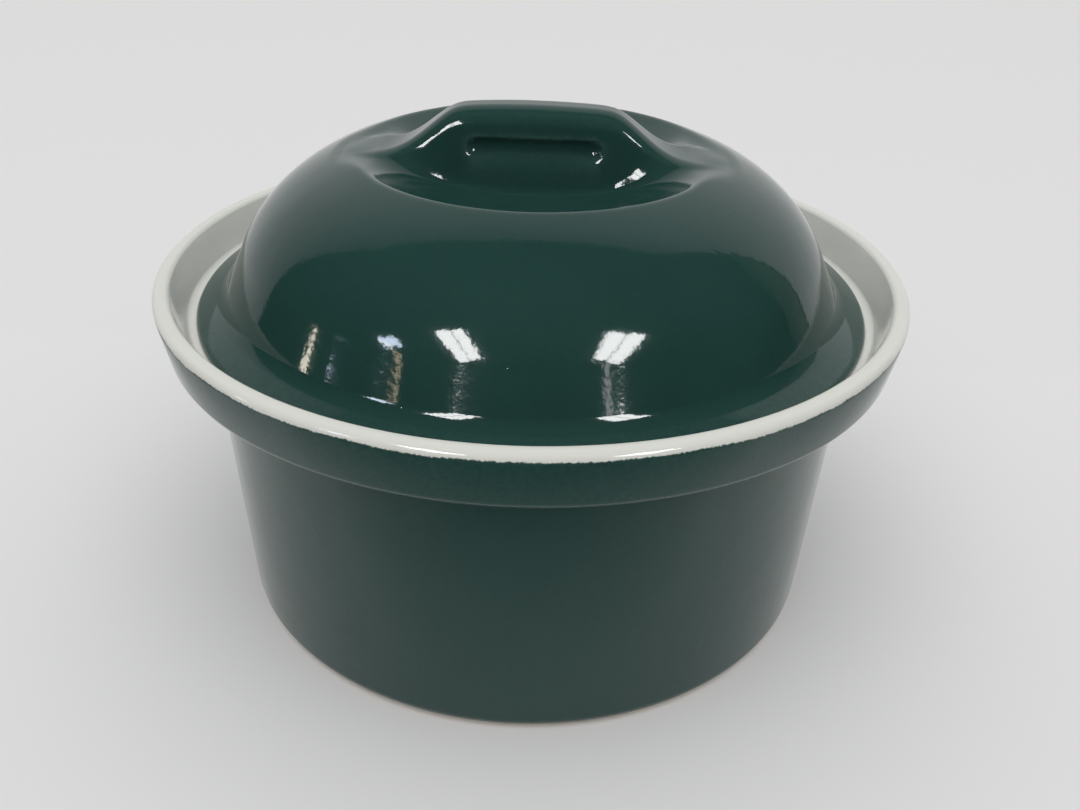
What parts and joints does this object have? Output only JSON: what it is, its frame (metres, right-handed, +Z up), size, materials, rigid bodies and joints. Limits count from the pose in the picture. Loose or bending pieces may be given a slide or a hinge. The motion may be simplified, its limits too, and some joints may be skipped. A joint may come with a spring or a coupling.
{
  "type": "casserole dish",
  "caption": "Round glazed stoneware casserole: deep straight-sided dish with a thick collar, and a domed drop-in lid whose bar grip is moulded across a sunken finger well.",
  "frame": {"origin": "centre of the dish's foot ring, on the surface it stands on", "axes": "+Z up along the dish's axis and the way the lid lifts off, +X along the lid's bar grip, +Y away from the side that the picture shows"},
  "size_m": [0.2499, 0.2498, 0.1697],
  "materials": {
    "dish": "glossy dark green glaze outside, glossy white glaze on the lip and inside, bare foot ring",
    "lid": "glossy dark green glaze outside, glossy white glaze inside"
  },
  "bodies": {
    "dish": {"dish": "dish"},
    "lid": {"lid": "lid"}
  },
  "joints": [
    {"name": "lid_lift", "type": "slide", "parent": "dish", "child": "lid", "axis": [0, 0, 1], "range_m": [0, 0.15]}
  ]
}
